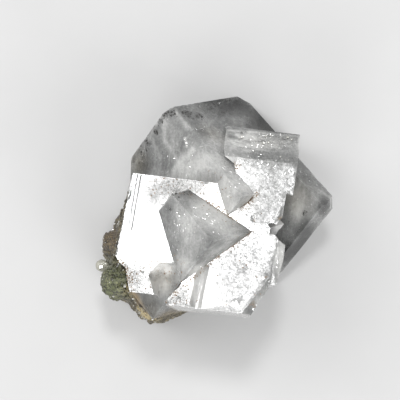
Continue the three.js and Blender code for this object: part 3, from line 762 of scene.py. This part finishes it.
def weathered_rock():
    """Broken weathered rock: crumbly and granular, beige to brown, with a pale green part
    and a glossy grey nub. Single grains and cleavage bits catch the light."""
    material, tree, place = new_material("weathered_rock_broken")
    amount = {
        label: add_node(tree, "Attribute", settings={"attribute_name": label}).outputs["Fac"]
        for label in rock_amounts
    }
    patch = add_node(tree, "TexNoise", Vector=place, Scale=1 / (1.6 * MM), Detail=6.0,
                     Roughness=0.75)
    shade = add_node(tree, "ValToRGB", Fac=patch)
    ramp = shade.color_ramp.elements
    ramp[0].position, ramp[0].color = 0.34, hex_linear("#3b3323")
    ramp[1].position, ramp[1].color = 0.66, hex_linear("#8f866d")
    for label, code, share in (("brown", "#57401f", 0.6), ("green", "#68744c", 0.72),
                               ("pale", "#bdac80", 0.66), ("crystalline", "#77766a", 0.6),
                               ("seam", "#4c3a26", 0.75), ("nub", "#b4b3aa", 0.85)):
        mask = add_node(tree, "Math MULTIPLY", amount[label], share)
        shade = add_node(tree, "Mix", mask, settings={"data_type": "RGBA"}, in6=shade,
                         in7=hex_linear(code)).outputs[2]

    # Grains 0.3 mm across, each with its own lightness and gloss, and dark pits.
    grains = add_node(tree, "TexVoronoi", Vector=place, Scale=1 / (0.32 * MM))
    own = add_node(tree, "SeparateColor", Color=grains.outputs["Color"])
    crumbly = add_node(tree, "Math MULTIPLY_ADD", amount["nub"], -0.9, 1.0)
    lit = add_node(tree, "MapRange", Value=own, To_Min=0.14, To_Max=1.02)
    lit = add_node(tree, "Mix", crumbly, in2=1.0, in3=lit)
    lit = add_node(tree, "Math MULTIPLY_ADD", amount["pale"], 0.32, lit)
    shade = add_node(tree, "VectorMath SCALE", shade, Scale=lit)
    pit, _ = specks(tree, place, 0.4, 0.5, add_node(tree, "Math MULTIPLY", crumbly, 0.12))
    shade = add_node(tree, "Mix", pit, settings={"data_type": "RGBA"}, in6=shade,
                     in7=hex_linear("#2c2018")).outputs[2]
    gloss = add_node(tree, "MapRange", Value=own, To_Min=0.12, To_Max=0.6)
    rough = add_node(tree, "Mix", amount["nub"], in2=gloss, in3=0.08)
    humps = add_node(tree, "Math MULTIPLY_ADD", grains, -0.5, patch)
    humps = add_node(tree, "Math MULTIPLY", humps, crumbly)
    relief = add_node(tree, "Bump", Height=humps, Strength=1.0, Distance=0.3 * MM)
    surface = add_node(tree, "BsdfPrincipled", Base_Color=shade, Roughness=rough,
                       Normal=relief, Specular_IOR_Level=0.6)
    add_node(tree, "OutputMaterial", Surface=surface)
    return material


rock.data.materials.append(weathered_rock())
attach(rock, "root")
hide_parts("rock_matrix")

# --- Small crystals and grains ------------------------------------------------------
# Tiny later rhombohedra sit on the faces and in the crumbs of the rock. Those on the big
# crystals grew parallel to them, so they flash together with the bright faces.

BOX_SIDES = np.array([
    (0, 2, 3, 1), (4, 5, 7, 6), (0, 1, 5, 4), (2, 6, 7, 3), (0, 4, 6, 2), (1, 3, 7, 5),
])
# Where they sit on the faces: x and y in mm, and size in mm.
FACE_SPARKLES = [
    (-5.9, -0.4, 0.3), (-5.6, -0.9, 0.3), (-1.3, -0.6, 0.3), (-1.0, -0.9, 0.26),
    (-4.2, -2.2, 0.22), (-3.2, -3.4, 0.2), (-2.5, -5.4, 0.2), (-6.4, -2.1, 0.22),
    (-3.0, 0.4, 0.2), (-1.9, -4.4, 0.2), (0.9, -2.8, 0.2), (-5.9, -6.2, 0.2),
    (3.6, 5.9, 0.3), (2.2, 4.6, 0.26), (2.4, 2.4, 0.24), (-4.8, 11.4, 0.3),
    (-4.6, 10.9, 0.3), (-4.5, 10.4, 0.26), (-6.6, 8.4, 0.3), (-4.0, 7.0, 0.24),
    (3.6, 7.9, 0.5), (3.5, 7.5, 0.36), (4.5, 11.9, 0.6), (4.0, 11.7, 0.5),
    (7.5, 12.6, 0.3), (8.4, 12.1, 0.6), (9.2, 12.2, 0.5), (8.0, 10.9, 0.5),
    (8.8, 11.0, 0.5), (12.0, 11.9, 0.6), (12.6, 11.5, 0.5), (6.2, 9.6, 0.5),
    (2.6, 12.5, 0.3), (2.2, 9.0, 0.24), (10.6, 8.6, 0.3), (11.9, 8.1, 0.26),
    (5.6, 9.2, 0.22), (12.4, 1.4, 0.3), (12.7, -0.2, 0.26), (15.4, 0.5, 0.24),
]


def seated(points, normals, places):
    """For each x and y the highest skin point within 0.35 mm of it, with its normal."""
    gaps = np.linalg.norm(points[None, :, :2] - places[:, None, :], axis=2)
    height = np.where(gaps < 0.35, points[None, :, 2], -np.inf)
    best = height.argmax(1)
    return np.column_stack([places, points[best, 2]]), normals[best]


def rhomb_grains(centres, sizes, axes):
    """Small rhombohedra: each corner is the centre plus or minus half of each of its three
    edges, and the edges are the given directions times the size."""
    corners = np.array(list(np.ndindex(2, 2, 2))) - 0.5
    offsets = np.einsum("kc,ncd->nkd", corners, axes) * sizes[:, None, None]
    grain_points = (centres[:, None, :] + offsets).reshape(-1, 3)
    sides = BOX_SIDES[:, [0, 1, 2, 0, 2, 3]].reshape(-1, 3)
    grain_triangles = (np.arange(len(centres))[:, None, None] * 8 + sides).reshape(-1, 3)
    return grain_points, grain_triangles


def random_axes(rng, count, base):
    """The three edges of a rhombohedron turned each time to a random heading: the turn is
    the orthogonal part of a table of random numbers."""
    turn = np.linalg.qr(rng.normal(size=(count, 3, 3)))[0]
    turn *= np.sign(np.linalg.det(turn))[:, None, None]
    return np.einsum("kd,nde->nke", base, turn)


ROCK_GRAINS = 260  # and one more on the nub
NUB_TOP = (-18.5, -9.3, 14.2)  # mm
NUB_GRAIN = 0.5  # mm
CRUMBS = 420

rng = np.random.default_rng(7)
places = np.array(FACE_SPARKLES)
centres, facing = seated(points, normals, places[:, :2])
sizes = places[:, 2] * rng.uniform(0.35, 0.8, len(places))
centres += facing * 0.02 - FRONT_NORMAL * sizes[:, None] * 0.45
axes = np.repeat(FIRST_AXES[None] * np.array([1.0, 0.7, 1.0])[:, None], len(places), axis=0)
sparkle_points, sparkle_triangles = rhomb_grains(centres, sizes, axes)
sparkles = skin_piece("parallel_grown_grains", sparkle_points, sparkle_triangles, {})
sparkles.data.shade_flat()


def clear_chabazite():
    """Small clean crystals: clear and glassy, with faces that flash."""
    material, tree, place = new_material("clear_chabazite_grain")
    haze = add_node(tree, "TexNoise", Vector=place, Scale=1 / (0.4 * MM), Detail=2.0)
    shade = add_node(tree, "ValToRGB", Fac=haze)
    ramp = shade.color_ramp.elements
    ramp[0].color, ramp[1].color = hex_linear("#a3a299"), hex_linear("#dcdbd4")
    rough = add_node(tree, "MapRange", Value=haze, To_Min=0.05, To_Max=0.15)
    surface = add_node(tree, "BsdfPrincipled", Base_Color=shade, Roughness=rough, IOR=1.48,
                       Transmission_Weight=0.4)
    add_node(tree, "OutputMaterial", Surface=surface)
    return material


clear_grain = clear_chabazite()
sparkles.data.materials.append(clear_grain)
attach(sparkles, "root")

# Grains in the crumbs of the rock, mostly along its upper strip and its pale band. One in
# eight grew parallel to the crystals, like the flat top of the nub, and flashes with them.
strip = rock_amounts["crystalline"] + 0.25 * pale + 0.06
strip *= soft(rock_points[:, 2], 4, 9) * soft(rock_normals[:, 2], -0.3, 0.3)
picked = rng.choice(len(rock_points), ROCK_GRAINS, replace=False, p=strip / strip.sum())
centres = np.vstack([rock_points[picked], [NUB_TOP]])
sizes = np.append(0.1 + 0.3 * rng.random(len(picked)) ** 2, NUB_GRAIN)
axes = random_axes(rng, len(centres), FIRST_AXES)
axes[::8] = FIRST_AXES
axes[-1] = FIRST_AXES
rock_grain_points, rock_grain_triangles = rhomb_grains(centres, sizes, axes)
rock_grains = skin_piece("rock_grains", rock_grain_points, rock_grain_triangles, {})
rock_grains.data.shade_flat()
rock_grains.data.materials.append(clear_grain)
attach(rock_grains, "root")

# Crumbs of the rock that still stick to the crystals' side above it.
chance = sticky ** 1.5
picked = rng.choice(len(points), CRUMBS, replace=False, p=chance / chance.sum())
sizes = 0.16 + 0.4 * rng.random(len(picked)) ** 2
axes = random_axes(rng, len(picked), FIRST_AXES)
crumb_points, crumb_triangles = rhomb_grains(points[picked], sizes, axes)
crumbs = skin_piece("rock_crumbs", crumb_points, crumb_triangles, {})
crumbs.data.shade_flat()
crumbs.data.materials.append(rock.data.materials[0])
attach(crumbs, "root")

# --- Floor, lights and camera -------------------------------------------------------
# A plain pale board, an even pale surround, and one lamp that the bright faces mirror.
# The camera looks straight down at the specimen.

BOARD_REACH = 1.2  # m, from the middle of the board to its sides
CAMERA_HEIGHT = 328.49 * MM
VIEW_AXIS = np.array([-2.356, 1.606]) * MM  # where the line of sight meets the board
LENS = 173.62  # mm on a 36 mm sensor
MIRROR_SPOT = np.array([-9.0, -4.0, 21.7]) * MM  # on the bright front face
LAMP_DISTANCE = 1.1  # m, from that spot to the lamp it mirrors
LAMP_WIDTH = 0.19  # m
LAMP_POWER = 4.6  # W
# Soft lamps from the sides: name, place in m, width in m, and power in W.
FILL_LAMPS = [
    ("left_fill", (-0.9, 0.5, 0.9), 0.9, 8.0),
    ("front_fill", (-0.55, -1.2, 0.66), 0.8, 7.0),
    ("right_fill", (0.7, -0.9, 0.7), 0.9, 9.0),
]

corners = np.array([(-1, -1, 0), (1, -1, 0), (1, 1, 0), (-1, 1, 0)]) * BOARD_REACH
floor_mesh = bpy.data.meshes.new("floor")
floor_mesh.from_pydata(corners.tolist(), [], [(0, 1, 2, 3)])
floor = bpy.data.objects.new("floor", floor_mesh)
bpy.context.scene.collection.objects.link(floor)
# Matt painted board: almost even, with a faint cloudiness about 17 mm across.
board, tree, place = new_material("pale_matt_board")
grain = add_node(tree, "TexNoise", Vector=place, Scale=1 / (17 * MM), Detail=3.0)
tone = add_node(tree, "MapRange", Value=grain, To_Min=0.46, To_Max=0.5)
paint = add_node(tree, "BsdfPrincipled", Base_Color=tone, Roughness=0.8)
add_node(tree, "OutputMaterial", Surface=paint)
floor_mesh.materials.append(board)

camera_place = np.array([*VIEW_AXIS, CAMERA_HEIGHT])
camera_data = bpy.data.cameras.new("camera")
camera_data.lens = LENS
camera_data.sensor_width = 36.0
camera_data.clip_start = 0.01
camera = bpy.data.objects.new("camera", camera_data)
camera.location = camera_place
bpy.context.scene.collection.objects.link(camera)
bpy.context.scene.camera = camera


def aimed_lamp(name, place, target, size, power):
    """A round soft lamp at a place, facing a target."""
    data = bpy.data.lights.new(name, "AREA")
    data.shape = "DISK"
    data.size = size
    data.energy = power
    lamp = bpy.data.objects.new(name, data)
    lamp.location = place
    way = Vector(target) - Vector(place)
    lamp.rotation_euler = way.to_track_quat("-Z", "Y").to_euler()
    bpy.context.scene.collection.objects.link(lamp)


# The lamp stands where the line of sight to the spot goes on after its bounce there.
sight = MIRROR_SPOT - camera_place
sight /= np.linalg.norm(sight)
bounce = sight - 2 * (sight @ FRONT_NORMAL) * FRONT_NORMAL / (FRONT_NORMAL @ FRONT_NORMAL)
lamp_place = MIRROR_SPOT + LAMP_DISTANCE * bounce
aimed_lamp("mirror_lamp", lamp_place, MIRROR_SPOT, LAMP_WIDTH, LAMP_POWER)
for name, place, width, power in FILL_LAMPS:
    aimed_lamp(name, place, (0, 0, 0.01), width, power)

world = bpy.data.worlds.new("even_surround")
world.use_nodes = True
surround = world.node_tree.nodes["Background"].inputs
surround["Color"].default_value = hex_linear("#f3f3f3")
surround["Strength"].default_value = 0.85
bpy.context.scene.world = world
bpy.context.scene.view_settings.view_transform = "Standard"
